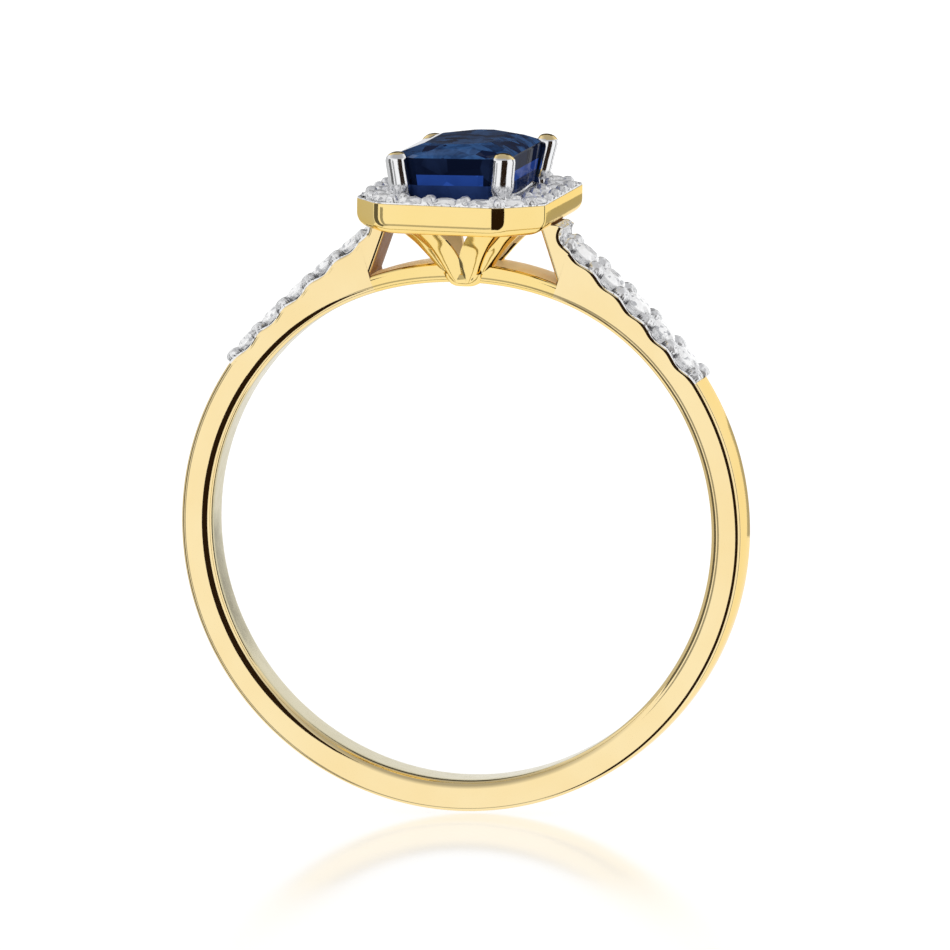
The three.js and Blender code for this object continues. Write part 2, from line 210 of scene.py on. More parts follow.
RIB_LEVELS = [
    # height, half width and half length of the basket, cut corner, and how far the front and side
    # openings reach from the middle
    (8.3, 0.56, 1.14, 0.26, 0.0, 0.0),
    (8.6, 0.84, 1.36, 0.36, 0.02, 0.05),
    (8.9, 1.06, 1.58, 0.46, 0.05, 0.4),
    (9.25, 1.32, 1.84, 0.58, 0.14, 0.76),
    (9.6, 1.62, 2.12, 0.7, 0.3, 1.02),
    (9.95, 1.98, 2.47, 0.8, 0.52, 1.3),
    (10.3, 2.36, 2.85, 0.9, 0.8, 1.6),
]
RIB_GROOVE = 0.17
RIB_DEPTH = 0.28
BACK_OPENING = 0.45  # how much more the basket opens at the back
BACK_OPENING_HEIGHTS = (8.6, 9.2)
CUP_LEVELS = [
    # height, half width and half length
    (8.15, 0.2, 0.8),
    (8.17, 0.36, 0.96),
    (8.23, 0.48, 1.06),
    (8.32, 0.57, 1.14),
    (8.45, 0.67, 1.22),
    (8.6, 0.74, 1.28),
    (8.72, 0.6, 1.2),
    (8.76, 0.3, 1.0),
]

CAMERA_AZIMUTH = math.radians(12.2)
CAMERA_ELEVATION = math.radians(8.2)
CAMERA_ROLL = math.radians(0.85)
CAMERA_DISTANCE = 500 * MM
FRAME_WIDTH = 31.73 * MM  # what the picture spans at the ring's distance
AIM_RIGHT = 0.295 * MM  # the picture's middle, from the centre of the finger hole
AIM_UP = 1.685 * MM
SENSOR = 36
FLOOR_GAP = 0.17  # the ring is held just over the floor, in millimetres
FLOOR_SIZE = 3000
FLOOR_SLOPE = math.radians(2)  # it rises a little to the right
FLOOR_SHINE = (14, 34)  # how far from the ring it starts to turn matt, and where it is
FLOOR_ROUGHNESS = (0.11, 0.32)  # at those two distances
FLOOR_GLOW = (0.515, 0.68)
CARD_DISTANCE = 300

# ---------------------------------------------------------------- materials


def material(name):
    """A new material with its Principled shader and a function that adds and links nodes."""
    made = bpy.data.materials.new(name)
    made.use_nodes = True
    tree = made.node_tree
    shader = tree.nodes["Principled BSDF"]

    def add(kind, inputs=(), **settings):
        node = tree.nodes.new(kind)
        for key, value in settings.items():
            setattr(node, key, value)
        for socket, value in dict(inputs).items():
            if isinstance(value, bpy.types.NodeSocket):
                tree.links.new(value, node.inputs[socket])
            else:
                node.inputs[socket].default_value = value
        return node

    return made, shader, add, tree.links


def place(add):
    """The surface point, in millimetres."""
    point = add("ShaderNodeNewGeometry").outputs["Position"]
    scaled = add("ShaderNodeVectorMath", {0: point, 1: (1 / MM,) * 3}, operation="MULTIPLY")
    return scaled.outputs[0]


def polished_metal(name, light, dark, roughness, wave, cuts=0.0, bright=1.0, glow=0.0, edge=(1, 1, 1, 1)):
    """A polished metal: faint tone changes, fine polishing lines and a slightly uneven surface.

    cuts is how strongly the little bright cuts of a hand-set surface show, bright is how metallic it
    is, 0 giving a dull skin, glow is painted light, an emission standing in for the light the skin
    gets from the metal facing it, and edge is the metal's colour at a glancing angle.
    """
    made, shader, add, links = material(name)
    shader.inputs["Metallic"].default_value = bright
    shader.inputs["Specular IOR Level"].default_value = 0.2
    shader.inputs["Specular Tint"].default_value = edge
    point = place(add)
    tone = add("ShaderNodeTexNoise", {"Vector": point, "Scale": 0.35, "Detail": 3})
    mix = add("ShaderNodeMix", {"Factor": tone.outputs["Fac"], 6: light, 7: dark}, data_type="RGBA")
    links.new(mix.outputs[2], shader.inputs["Base Color"])
    links.new(mix.outputs[2], shader.inputs["Emission Color"])
    shader.inputs["Emission Strength"].default_value = glow
    smear = add("ShaderNodeTexNoise", {"Vector": point, "Scale": 2.5, "Detail": 6, "Roughness": 0.7})
    gloss = add(
        "ShaderNodeMapRange",
        {
            "Value": smear.outputs["Fac"],
            "From Min": 0.3,
            "From Max": 0.7,
            "To Min": roughness[0],
            "To Max": roughness[1],
        },
    )
    links.new(gloss.outputs[0], shader.inputs["Roughness"])
    lines = add("ShaderNodeTexNoise", {"Vector": point, "Scale": 35.0, "Detail": 4, "Roughness": 0.8})
    swell = add("ShaderNodeTexNoise", {"Vector": point, "Scale": 0.9, "Detail": 1})
    cells = add("ShaderNodeTexVoronoi", {"Vector": point, "Scale": 6.5}, feature="SMOOTH_F1")
    cells.inputs["Randomness"].default_value = 1.0
    normal = None
    for height, strength, depth in (
        (lines.outputs["Fac"], 0.02, 0.02),
        (swell.outputs["Fac"], wave, 0.05),
        (cells.outputs["Distance"], cuts, 0.1),
    ):
        bump = add("ShaderNodeBump", {"Height": height, "Strength": strength, "Distance": depth * MM})
        if normal is not None:
            links.new(normal, bump.inputs["Normal"])
        normal = bump.outputs[0]
    links.new(normal, shader.inputs["Normal"])
    return made


def gem(name, pale, deep, ior, shine, clear, patches, fill=0.5, glow=0.0):
    """A cut stone: painted reflections, patches of lighter and deeper colour for what its inner facets show,
    under a clear polish.

    The lower fill is, the more of it is pale. glow is painted light, standing in for the light its facets
    pass about.
    """
    made, shader, add, links = material(name)
    point = place(add)
    cells = add("ShaderNodeTexVoronoi", {"Vector": point, "Scale": patches, "Randomness": 0.9})
    split = add("ShaderNodeSeparateColor", {"Color": cells.outputs["Color"]})
    fine = patches * 1.7
    veil = add("ShaderNodeTexNoise", {"Vector": point, "Scale": fine, "Detail": 4, "Distortion": 0.6})
    both = add("ShaderNodeMath", {0: split.outputs[0], 1: veil.outputs["Fac"]}, operation="MULTIPLY")
    ramp = add("ShaderNodeMapRange", {"Value": both.outputs[0], "From Min": 0.05, "From Max": fill})
    mix = add("ShaderNodeMix", {"Factor": ramp.outputs[0], 6: deep, 7: pale}, data_type="RGBA")
    links.new(mix.outputs[2], shader.inputs["Base Color"])
    shader.inputs["IOR"].default_value = ior
    shader.inputs["Specular IOR Level"].default_value = shine
    shader.inputs["Transmission Weight"].default_value = clear
    shader.inputs["Roughness"].default_value = 0.02
    shader.inputs["Emission Color"].default_value = (1, 1, 1, 1)
    shader.inputs["Emission Strength"].default_value = glow
    return made


GOLD_EDGE = (1.0, 0.86, 0.52, 1)
GOLD = polished_metal(
    "yellow gold", (1.0, 0.85, 0.52, 1), (0.94, 0.71, 0.33, 1), (0.03, 0.07), 0.15, edge=GOLD_EDGE
)
GOLD_HEAD = polished_metal(
    "yellow gold of the head", (1.0, 0.79, 0.36, 1), (0.95, 0.71, 0.26, 1), (0.03, 0.07), 0.15, edge=GOLD_EDGE
)
GOLD_BORE = polished_metal("brushed gold", (0.70, 0.64, 0.43, 1), (0.54, 0.48, 0.29, 1), (0.12, 0.26), 0.3)
# painted light: the glow and the light base colour stand in for light bounced into the basket and onto the
# bridge; the roughness is a satin finish
GOLD_INSIDE_PAINTED_LIGHT = polished_metal(
    "satin gold with painted light", (1.0, 0.80, 0.48, 1), (0.72, 0.44, 0.12, 1), (0.3, 0.5), 0.4, bright=0.25, glow=0.3
)
# painted shade: a dull dark brown, not metallic, for the struts' inner faces beside the window
GOLD_PAINTED_SHADE = polished_metal(
    "gold painted in shade", (0.42, 0.25, 0.13, 1), (0.3, 0.16, 0.09, 1), (0.4, 0.6), 0.4, bright=0.0
)
RHODIUM = polished_metal("rhodium", (0.93, 0.93, 0.94, 1), (0.86, 0.87, 0.89, 1), (0.1, 0.18), 0.15)
RHODIUM_CUT = polished_metal(
    "bright-cut rhodium",
    (0.98, 0.98, 0.99, 1),
    (0.9, 0.91, 0.92, 1),
    (0.12, 0.26),
    0.3,
    cuts=0.7,
    bright=0.6,
)
# painted shade: dark rhodium for the recesses of the halo plate and the rings round the shoulder beads
RHODIUM_PAINTED_SHADE = polished_metal(
    "rhodium with painted shade in the recesses", (0.4, 0.4, 0.41, 1), (0.1, 0.1, 0.11, 1), (0.2, 0.4), 0.3, cuts=0.7
)


def sapphire_look(name, pale, deep, patches, shine=0.004):
    """A dark blue stone's material, in two blues."""
    return gem(name, (*pale, 1), (*deep, 1), 1.77, shine, 0.0, patches)


SAPPHIRE = sapphire_look("sapphire", (0.009, 0.018, 0.055), (0.003, 0.006, 0.022), 1.0)
# painted light and reflections: lighter copies of the sapphire for its lit steps, its lower pavilion and its
# crown
SAPPHIRE_PAINTED_LIGHT = sapphire_look("sapphire with painted light", (0.035, 0.11, 0.52), (0.018, 0.06, 0.3), 0.8)
SAPPHIRE_PAVILION_PAINTED_LIGHT = sapphire_look("sapphire pavilion with painted light", (0.03, 0.065, 0.22), (0.01, 0.022, 0.085), 0.7)
SAPPHIRE_CROWN_PAINTED_REFLECTION = sapphire_look("sapphire crown with painted reflections", (0.04, 0.12, 0.32), (0.003, 0.01, 0.05), 2.0, 0.06)
# painted reflections and painted light: pale and grey facet patches and a white glow
DIAMOND = gem("diamond", (1, 1, 1, 1), (0.3, 0.31, 0.34, 1), 2.3, 0.6, 0.15, 8.0, fill=0.16, glow=0.16)

# ---------------------------------------------------------------- mesh tools


def outward(bm):
    """Turns the faces of one closed skin to face out."""
    bmesh.ops.recalc_face_normals(bm, faces=bm.faces)
    if bm.calc_volume(signed=True) < 0:
        bmesh.ops.reverse_faces(bm, faces=bm.faces)
    return bm


def loft(rings, closed=False):
    """The skin through rings of equally many points, with end faces, or joined end to end if closed."""
    bm = bmesh.new()
    rows = [[bm.verts.new(p) for p in ring] for ring in rings]
    pairs = list(zip(rows, rows[1:]))
    if closed:
        pairs.append((rows[-1], rows[0]))
    for low, high in pairs:
        n = len(low)
        for i in range(n):
            j = (i + 1) % n
            bm.faces.new((low[i], low[j], high[j], high[i]))
    if not closed:
        bm.faces.new(rows[0])
        bm.faces.new(rows[-1])
    return outward(bm)


def joined(*parts):
    """Several closed bmeshes in one."""
    whole = bmesh.new()
    for part in parts:
        mesh = bpy.data.meshes.new("part")
        part.to_mesh(mesh)
        part.free()
        whole.from_mesh(mesh)
        bpy.data.meshes.remove(mesh)
    return whole


def mesh_object(name, bm, look):
    """A new object with the shape of a bmesh in millimetres."""
    mesh = bpy.data.meshes.new(name)
    bm.to_mesh(mesh)
    bm.free()
    mesh.transform(Matrix.Scale(MM, 4))
    mesh.materials.append(look)
    made = bpy.data.objects.new(name, mesh)
    bpy.context.scene.collection.objects.link(made)
    return made


def piece(name, bm, look, node, sharp=30):
    """The finished object for a CAD node; edges sharper than that many degrees stay crisp."""
    made = mesh_object(name, bm, look)
    made.data.shade_smooth()
    made.data.set_sharp_from_angle(angle=math.radians(sharp))
    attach(made, "root")
    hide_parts(node)
    return made


def paint(made, look, chosen):
    """Gives a look to the faces still in the first one that chosen picks by middle, in mm, and normal."""
    made.data.materials.append(look)
    for face in made.data.polygons:
        if face.material_index == 0 and chosen(face.center / MM, face.normal):
            face.material_index = len(made.data.materials) - 1


def polar(radius, angle):
    """A point of the X-Z plane at an angle from the top of the ring, positive towards +X."""
    return Vector((radius * math.sin(angle), radius * math.cos(angle)))


def ease(low, high, value):
    """0 up to low, 1 from high on, and a smooth step between."""
    t = min(1, max(0, (value - low) / (high - low)))
    return t * t * (3 - 2 * t)


def spread(low, high, count):
    """count + 1 values from low to high."""
    return [low + (high - low) * i / count for i in range(count + 1)]


def smooth_corner(steps=12, fineness=12):
    """A rounded corner that eases in and out: how far it has got along each of its two sides."""
    turn = [math.pi / 4 * (t + 3 * t * t - 2 * t**3) for t in spread(0, 1, fineness * steps)]
    a = b = 0.0
    path = [(a, b)]
    for angle in turn[:-1]:
        a += math.cos(angle)
        b += math.sin(angle)
        path.append((a, b))
    a, b = path[-1]
    return [(p / a, q / b) for p, q in path[::fineness]]


CORNER = smooth_corner()

# ---------------------------------------------------------------- band, shoulders and bridge


def band_section(outer, out_way, out_edge, inner, in_way, in_edge, channel=None, sunk=0.0):
    """The closed outline of the band's metal at one station.

    outer and inner are points of the X-Z plane, with the way each faces and how far its edges are
    rounded. channel is how deep the groove for the stones is cut into the outer face, and sunk how
    far the whole section stays inside the metal around it.
    """
    half = BAND_W / 2 - sunk

    def at(base, way, rise, y):
        p = base + way * rise
        return Vector((p.x, y, p.y))

    def half_outline(side):
        reach = 0 if channel is None else CHANNEL_Y
        kept = [(a, b) for a, b in CORNER if half - out_edge * b >= reach]
        rounded = [at(outer, out_way, -out_edge - FLAT_MARGIN, side * half)]
        rounded += [at(outer, out_way, out_edge * (a - 1), side * (half - out_edge * b)) for a, b in kept]
        if channel is None:
            ys = spread(half - out_edge, 0, 4)[1:]
            reach = half - out_edge
            rounded += [at(outer, out_way, BAND_DOME * (1 - (y / reach) ** 2), side * y) for y in ys]
        else:
            rounded += [at(outer, out_way, -channel, side * y) for y in (CHANNEL_Y, 0)]
        bore = [at(inner, in_way, -in_edge - FLAT_MARGIN, side * half)]
        bore += [at(inner, in_way, in_edge * (a - 1), side * (half - in_edge * b)) for a, b in CORNER]
        bore.append(at(inner, in_way, 0, 0))
        return list(reversed(bore)), rounded

    bore_front, top_front = half_outline(-1)
    bore_back, top_back = half_outline(1)
    return bore_front + top_front + list(reversed(top_back))[1:] + list(reversed(bore_back))[:-1]


def bore_radius(angle):
    return BORE_R - BORE_FLAT * math.exp(-((angle / BORE_FLAT_SPREAD) ** 2))


def shank():
    rings = []
    for angle in spread(SHOULDER_END, 2 * math.pi - SHOULDER_END, 300):
        way = polar(1, angle)
        rings.append(band_section(way * BAND_R, way, BAND_EDGE, way * BORE_R, -way, BAND_COMFORT))
    return loft(rings)


SHOULDER_LOW = polar(BAND_R, SHOULDER_END)
ROW = SHOULDER_LOW - SHOULDER_TOP
ROW_LENGTH = ROW.length
ROW_ALONG = ROW.normalized()
ROW_OUT = Vector((-ROW_ALONG.y, ROW_ALONG.x))
ROW_START = (ROW_LENGTH - STONES * PITCH) / 2


def row_point(distance, height=0.0):
    """A point over the right shoulder's line, that distance down the row of stones."""
    t = distance / ROW_LENGTH
    bow = 4 * SHOULDER_SAGITTA * t * (1 - t)
    turn = SHOULDER_TURN * max(0, SHOULDER_BEND - distance) ** 2
    return SHOULDER_TOP + ROW_ALONG * distance + ROW_OUT * (bow + height) + turn


def row_way(distance):
    """The way the shoulder's line faces there."""
    along = (row_point(distance + 0.05) - row_point(distance - 0.05)).normalized()
    return Vector((-along.y, along.x))


def stone_nearness(distance):
    """1 beside the middle of a stone, 0 half way between two."""
    phase = (distance - ROW_START) / PITCH
    inside = 0 < phase < STONES
    return 0.5 - 0.5 * math.cos(2 * math.pi * phase) if inside else 0.0


def shoulder():
    """The right shoulder's two lengths: the part that carries the stones and the strut to the halo."""
    rings = []
    for t in spread(0, 1, 120):
        distance = ROW_LENGTH + (CROTCH_DISTANCE - ROW_LENGTH) * t
        angle = SHOULDER_END + (CROTCH - SHOULDER_END) * t
        way = polar(1, angle)
        outer = row_point(distance, -GOLD_SCALLOP * stone_nearness(distance))
        blend = ease(0, SHOULDER_RUN_IN, t)
        out_way = row_way(distance) * blend + way * (1 - blend)
        bore = way * bore_radius(angle)
        rings.append(band_section(outer, out_way, BAND_EDGE, bore, -way, BAND_COMFORT, CHANNEL_DEPTH))
    body = loft(rings)
    strut_low = polar(BRIDGE_R, CROTCH)
    strut_high = Vector((STRUT_INNER_X, TRAY_LO.z))
    strut = strut_high - strut_low
    in_way = Vector((-strut.y, strut.x)).normalized()

    def strut_section(outer, out_way, low, channel, sunk):
        return band_section(outer, out_way, BAND_EDGE, low, in_way, BRIDGE_EDGE, channel, sunk)

    rings = []
    for root in STRUT_ROOT:
        # the strut's root, sunk into the shoulder
        outer = row_point(CROTCH_DISTANCE + root, -GOLD_SCALLOP)
        low = strut_low + ROW_ALONG * root
        rings.append(strut_section(outer, row_way(CROTCH_DISTANCE), low, CHANNEL_DEPTH, 2.5 * STRUT_SHY))
    for t in spread(0, 1, 30):
        distance = CROTCH_DISTANCE + (RAIL_START - CROTCH_DISTANCE) * t
        outer, low = row_point(distance), strut_low + strut * t
        rings.append(strut_section(outer, row_way(distance), low, CHANNEL_DEPTH * (1 - t / 2), STRUT_SHY))
    return joined(body, loft(rings))


def bridge():
    """The right half of the bridge, from the basket to the shoulder."""
    start = math.asin(BRIDGE_START_X / BRIDGE_R)
    rings = []
    for angle in spread(start, CROTCH, 24):
        way = polar(1, angle)
        bore = way * bore_radius(angle)
        rings.append(band_section(way * BRIDGE_R, way, BRIDGE_EDGE, bore, -way, BAND_COMFORT))
    return loft(rings)


def mirrored(bm):
    """The same thing on the left."""
    bmesh.ops.scale(bm, vec=(-1, 1, 1), verts=bm.verts)
    bmesh.ops.reverse_faces(bm, faces=bm.faces)
    return bm


# each side's name, and what turns a shape of the right side into its own
SIDES = (("right", lambda bm: bm), ("left", mirrored))


def band_piece(node, bm, look=GOLD):
    """A length of the band: polished gold, with a duller finish where the finger goes."""

    def on_flank(normal):
        return abs(normal.y) > FLANK_NORMAL

    def in_bore(at, normal):
        return not on_flank(normal) and math.hypot(at.x, at.z) < BORE_R + 0.1

    def shaded_under_strut(at, normal):
        inward = normal.x * at.x < 0
        return "shoulder" in node and not on_flank(normal) and inward and at.z > STRUT_LOW_Z

    def on_bridge(at, normal):
        return "bridge" in node and not on_flank(normal)

    made = piece(f"{node}_metal", bm, look, node)
    paint(made, GOLD_BORE, in_bore)
    # painted shade on the struts' inner faces beside the window
    paint(made, GOLD_PAINTED_SHADE, shaded_under_strut)
    # painted light on the bridge's outer faces
    paint(made, GOLD_INSIDE_PAINTED_LIGHT, on_bridge)


band_piece("shank", shank())
for word, turned in SIDES:
    band_piece(f"shoulder_{word}", turned(shoulder()))
    band_piece(f"bridge_{word}", turned(bridge()), GOLD_HEAD)

# ---------------------------------------------------------------- white rails of the shoulders


def dome(distance, radius, height, square=2.6):
    """The height of a full, steep-sided dome at a distance from its middle."""
    t = min(1, distance / radius)
    return height * (1 - t**square) ** (1 / square)


def nearest_junction(distance):
    """The point between two stones, or at the row's end, that is nearest along the row."""
    phase = (distance - ROW_START) / PITCH
    return ROW_START + min(STONES, max(0, round(phase))) * PITCH


def rail_height(distance, y):
    """How high the white metal stands over the shoulder's line there."""
    side = abs(y)
    near = stone_nearness(distance)
    wall = RAIL_TOP - RAIL_DIP * near * ease(0.35, 0.7, side)
    rim = ease(*(RAIL_Y - inset for inset in RIM_AT), side)
    gutter = ease(*(RAIL_Y - inset for inset in GUTTER_AT), side) * (1 - rim)
    height = wall + rim * (RAIL_RIM - GOLD_SCALLOP * near * 0.4) - GUTTER_DEPTH * gutter
    count = math.floor((distance - ROW_START) / PITCH)
    stone = ROW_START + (min(STONES - 1, max(0, count)) + 0.5) * PITCH
    reach = math.hypot(distance - stone, y)
    if reach < STONE_R:
        height = min(height, -0.04 - SEAT_SLOPE * (STONE_R - reach))
    prong = math.hypot((distance - nearest_junction(distance)) / PRONG_STRETCH, side - PRONG_Y)
    if prong < PRONG_R:
        height = max(height, dome(prong, PRONG_R, PRONG_H + 0.1) - 0.1)
    return height


def pave_rail():
    rings = []
    ys = spread(RAIL_Y, -RAIL_Y, round(2 * RAIL_Y / RAIL_STEP))
    for distance in spread(RAIL_START, ROW_LENGTH, round((ROW_LENGTH - RAIL_START) / RAIL_STEP)):
        out = row_way(distance)

        def at(y, height):
            p = row_point(distance) + out * height
            return Vector((p.x, y, p.y))

        top = [at(y, rail_height(distance, y)) for y in ys]
        deep = CHANNEL_DEPTH if distance > 0 else 0.3
        low = [(RAIL_Y, -0.1), (RAIL_Y, -0.2), (CHANNEL_Y, -deep)]
        rings.append([at(-y, h) for y, h in low] + [at(y, h) for y, h in reversed(low)] + top)
    return loft(rings)


def beside_bead(at, normal):
    """Whether a point over a shoulder is in the painted shadow round a bead."""
    distance = (Vector((abs(at.x), at.z)) - SHOULDER_TOP).dot(ROW_ALONG)
    reach = math.hypot(distance - nearest_junction(distance), abs(at.y) - PRONG_Y)
    return 0 < reach - PRONG_R < SHADOW_WIDTH


for word, turned in SIDES:
    node = f"pave_rail_{word}"
    rail = piece(f"{node}_metal", turned(pave_rail()), RHODIUM_CUT, node, sharp=50)
    # painted shadow in the ring round each bead
    paint(rail, RHODIUM_PAINTED_SHADE, beside_bead)

# ---------------------------------------------------------------- halo


def octagon(x, y, cut, fillets=(0.0, 0.0), left_cut=None, straight=6, bend=8):
    """The outline of an oblong with cut corners, anticlockwise from the front-right corner.

    fillets is how much of each side the rounding takes, at the corners of the two ends and at those
    of the two long sides. Outlines with the same straight and bend have matching points.
    """
    left = cut if left_cut is None else left_cut
    right_half = [(x - cut, -y), (x, -y + cut), (x, y - cut), (x - cut, y)]
    left_half = [(-x + left, y), (-x, y - cut), (-x, -y + cut), (-x + left, -y)]
    corners = [Vector(c) for c in right_half + left_half]
    rounds = [fillets[i % 4 in (1, 2)] for i in range(8)]

    def trim(i, j):
        """The point where side i-j leaves the rounding of corner i."""
        side = corners[j] - corners[i]
        return corners[i] + side.normalized() * (min(rounds[i], side.length * 0.48) + 1e-4)

    points = []
    for i in range(8):
        start, corner, stop = trim(i, i - 1), corners[i], trim(i, (i + 1) % 8)
        for t in spread(0, 1, bend):
            points.append(start * (1 - t) ** 2 + corner * 2 * t * (1 - t) + stop * t * t)
        following = trim((i + 1) % 8, i)
        points += [stop.lerp(following, t) for t in spread(0, 1, straight)[1:-1]]
    return points


def grown_cut(cut, by):
    """A cut corner's size once every side, and the cut too, has moved outward."""
    return cut + by * (2 - math.sqrt(2))


def level(outline, z):
    """The outline lifted to a height."""
    return [Vector((p.x, p.y, z)) for p in outline]


def halo_outline(by, z, **count):
    """The halo's outline at a height, with every side moved outward."""
    cuts = grown_cut(HALO_CUT, by), grown_cut(HALO_LEFT_CUT, by)
    return level(octagon(HALO_X + by, HALO_Y + by, cuts[0], HALO_FILLETS, cuts[1], **count), z)


def halo_tray():
    inner = octagon(*WELL, WELL_FILLETS)
    rings = [halo_outline(-inset, TRAY_BOTTOM + up) for inset, up in TRAY_ROUNDING]
    rings += [halo_outline(-inset, BRIM - down) for inset, down in ((0, 0.02), (0.006, 0.005), (0.02, 0))]
    rings += [halo_outline(-TRAY_WALL + 0.02, BRIM), halo_outline(-TRAY_WALL, TRAY_FLOOR)]
    rings += [level(inner, TRAY_FLOOR), level(inner, TRAY_BOTTOM)]
    return loft(rings, closed=True)


HALO_STONES = [sum(cad(f"halo_diamond_{i:02d}"), Vector()).xy / 2 for i in range(1, 21)]
HALO_BEADS = []
for a, b in zip(HALO_STONES, HALO_STONES[1:] + HALO_STONES[:1]):
    across = Vector((b.y - a.y, a.x - b.x)).normalized()
    HALO_BEADS += [(a + b) / 2 + across * HALO_BEAD_SPREAD, (a + b) / 2 - across * HALO_BEAD_SPREAD]


def plate_height(p, reach):
    """How high the white plate stands at a point; reach is 0 at its outer edge and 1 at the well."""
    rim = 1 - ease(*PLATE_RIM_AT, reach)
    lip = ease(*PLATE_LIP_AT, reach)
    height = -PLATE_DIP + PLATE_RIM * rim + PLATE_LIP * lip
    nearest = min((p - stone).length for stone in HALO_STONES)
    height += COLLAR * (1 - ease(0.0, 0.05, abs(nearest - HALO_STONE_R - 0.03)))
    if nearest < HALO_STONE_R:
        height = min(height, -0.03 - SEAT_SLOPE * (HALO_STONE_R - nearest))
    bead = min((p - spot).length for spot in HALO_BEADS)
    if bead < HALO_BEAD_R:
        height = max(height, dome(bead, HALO_BEAD_R, HALO_BEAD_H + 0.07) - 0.07)
    return HALO_TOP + height


def halo_plate():
    count = dict(straight=60, bend=24)
    outer = halo_outline(-0.01, BRIM, **count)
    inner = octagon(*WELL, WELL_FILLETS, **count)
    rings = [level(inner, PLATE_LOW)]
    rings += [halo_outline(-TRAY_WALL - 0.02, z, **count) for z in (PLATE_LOW, BRIM)]
    rings.append(outer)
    for reach in spread(0.004, 1, 46):
        flat = [a.xy.lerp(b, reach) for a, b in zip(outer, inner)]
        rings.append([Vector((p.x, p.y, plate_height(p, reach))) for p in flat])
    return loft(rings, closed=True)


def in_plate_recess(at, normal):
    """Whether a face lies below the plate's rim, beads and lip, where shade is painted."""
    return 11 < at.z < HALO_TOP - 0.04


piece("halo_tray_metal", halo_tray(), GOLD_HEAD, "halo_tray", sharp=60)
plate = piece("halo_plate_metal", halo_plate(), RHODIUM_CUT, "halo_pave_plate", sharp=50)
# painted shade on the plate's faces below its rim, beads and lip
paint(plate, RHODIUM_PAINTED_SHADE, in_plate_recess)

# ---------------------------------------------------------------- centre setting


def seat_rail():
    """The white rail the sapphire rests in, scalloped between the claws."""

    def ring(x, y, cut, z, sag):
        points = []
        for p in octagon(x, y, cut, SEAT_FILLETS, straight=24, bend=10):
            off_middle = abs(p.x) / x if abs(p.y) > y - cut else abs(p.y) / y
            down = sag * math.cos(math.pi / 2 * min(1, off_middle)) ** 2
            points.append(Vector((p.x, p.y, z - down)))
        return points

    return loft([ring(*outline) for outline in SEAT_OUTLINES], closed=True)


piece("stone_seat_metal", seat_rail(), RHODIUM, "stone_seat", sharp=50)


def leaning(bm):
    """The centre setting's slight lean, more the higher it gets."""
    for vert in bm.verts:
        share = ease(*LEAN_HEIGHTS, vert.co.z)
        leant = LEAN_ABOUT + LEAN @ (vert.co - LEAN_ABOUT) + SETTING_SHIFT
        vert.co = vert.co.lerp(leant, share)
    return bm


def claw(sx, sy, splay):
    """One claw: rounded outlines up a spine that leans out over its corner of the stone."""
    out = Vector((sx, sy)).normalized()
    along = Vector((-out.y, out.x))
    rings = []
    rows = []
    for a, b in zip(CLAW_SPINE, CLAW_SPINE[1:]):
        rows += [[p + (q - p) * t for p, q in zip(a, b)] for t in spread(0, 1, 3)[:-1]]
    rows.append(CLAW_SPINE[-1])
    for offset, z, wide, deep in rows:
        lean = (z - CLAW_FOOT_Z) * (CLAW_SPLAY + splay)
        full = 1 + CLAW_SWELL * ease(*SWELL_HEIGHTS, z)
        middle = Vector((sx * CLAW_AT.x, sy * CLAW_AT.y)) + out * (offset + lean - CLAW_SETBACK)
        ring = []
        for turn in spread(0, 2 * math.pi, 24)[:-1]:
            p = middle + along * (full * wide * math.cos(turn)) + out * (full * deep * math.sin(turn))
            ring.append(Vector((p.x, p.y, z)))
        rings.append(ring)
    return loft(rings)


def bare_gold(sx, sy):
    """The test for the faces of a claw where the white plating has worn off its gold."""

    def chosen(at, normal):
        height = at.z + CAP_WAVE * math.sin(9 * math.atan2(at.y, at.x) + 2 * sx)
        inner = at.x * sx + at.y * sy < CLAW_AT.x + CLAW_AT.y - 0.05
        return height > CAP_Z or (sy > 0 and (sx < 0 or inner) and height > BACK_CLAW_BARE_Z)

    return chosen


for word, sx, sy, splay in CLAWS:
    node = f"claw_{word}"
    made = piece(f"{node}_metal", leaning(claw(sx, sy, splay)), RHODIUM, node, sharp=60)
    paint(made, GOLD, bare_gold(sx, sy))


def sapphire():
    rings = []
    for z, inset, cut in SAPPHIRE_LEVELS:
        x, y = SAPPHIRE_HI.x - inset, SAPPHIRE_HI.y - inset
        ring = level(octagon(x, y, cut, left_cut=cut + SAPPHIRE_LEFT_CUT, straight=14, bend=2), z)
        for p in ring:
            p.z -= CROWN_DROP * ease(*CROWN_HEIGHTS, z) * max(0, -p.x) / SAPPHIRE_HI.x
        rings.append(ring)
    return loft(rings)


def on_painted_light_step(at, normal):
    """Whether a face belongs to the bars under the girdle that get painted light, clear of the corners."""
    low, high = LIT_STEP
    square = max(abs(normal.x), abs(normal.y)) > 0.95
    along = abs(at.x - SETTING_SHIFT.x) < LIT_HALF[0] or abs(at.y) < LIT_HALF[1]
    return low < at.z < high and square and along


stone = piece("sapphire_stone", leaning(sapphire()), SAPPHIRE, "sapphire", sharp=3)
# painted light on the pavilion's broad steps and on the band below them, and painted reflections on the crown
paint(stone, SAPPHIRE_PAINTED_LIGHT, on_painted_light_step)
paint(stone, SAPPHIRE_CROWN_PAINTED_REFLECTION, lambda at, normal: normal.z > 0.3)
paint(stone, SAPPHIRE_PAVILION_PAINTED_LIGHT, lambda at, normal: at.z < LIT_STEP[0])

# ---------------------------------------------------------------- basket


